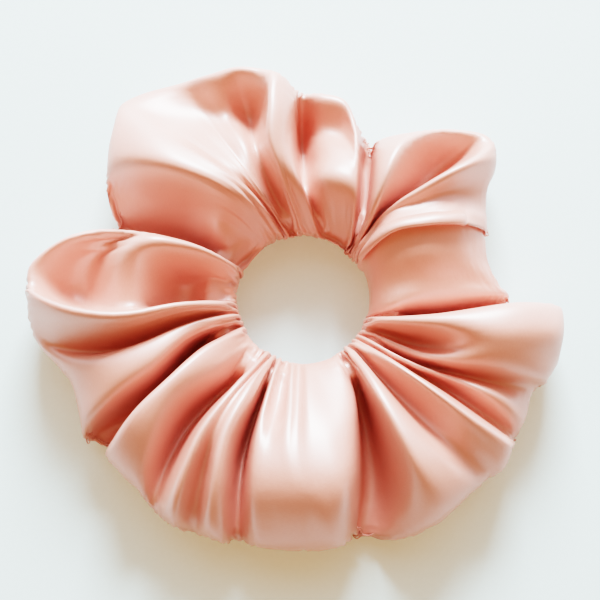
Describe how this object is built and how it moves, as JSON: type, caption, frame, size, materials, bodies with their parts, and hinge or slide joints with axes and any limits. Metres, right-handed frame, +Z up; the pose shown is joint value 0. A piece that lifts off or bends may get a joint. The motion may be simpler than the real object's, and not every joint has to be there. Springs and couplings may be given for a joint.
{
  "type": "scrunchie",
  "caption": "Gathered satin hair scrunchie: a soft tube of cloth bunched round a sewn loop of elastic, with a sprung opening that stretches over a ponytail.",
  "frame": {"origin": "centre of the footprint, on the surface that the scrunchie lies on", "axes": "+Z up along the axis of the opening, +X along the longest side and the way the elastic stretches, +Y across it"},
  "size_m": [0.1176, 0.1068, 0.03],
  "materials": {
    "satin": "satin",
    "elastic": "matte",
    "thread": "satin"
  },
  "bodies": {
    "left_half": {"satin_cover_left": "satin", "elastic_band_left": "elastic", "long_seam_needle_thread_left": "thread", "long_seam_bobbin_thread_left": "thread", "elastic_join_needle_thread": "thread", "elastic_join_bobbin_thread": "thread"},
    "right_half": {"satin_cover_right": "satin", "elastic_band_right": "elastic", "long_seam_needle_thread_right": "thread", "long_seam_bobbin_thread_right": "thread", "closing_seam_needle_thread": "thread", "closing_seam_bobbin_thread": "thread"}
  },
  "joints": [
    {"name": "stretch", "type": "slide", "parent": "left_half", "child": "right_half", "axis": [1, 0, 0], "range_m": [0, 0.06], "stiffness_N_per_m": 150}
  ]
}
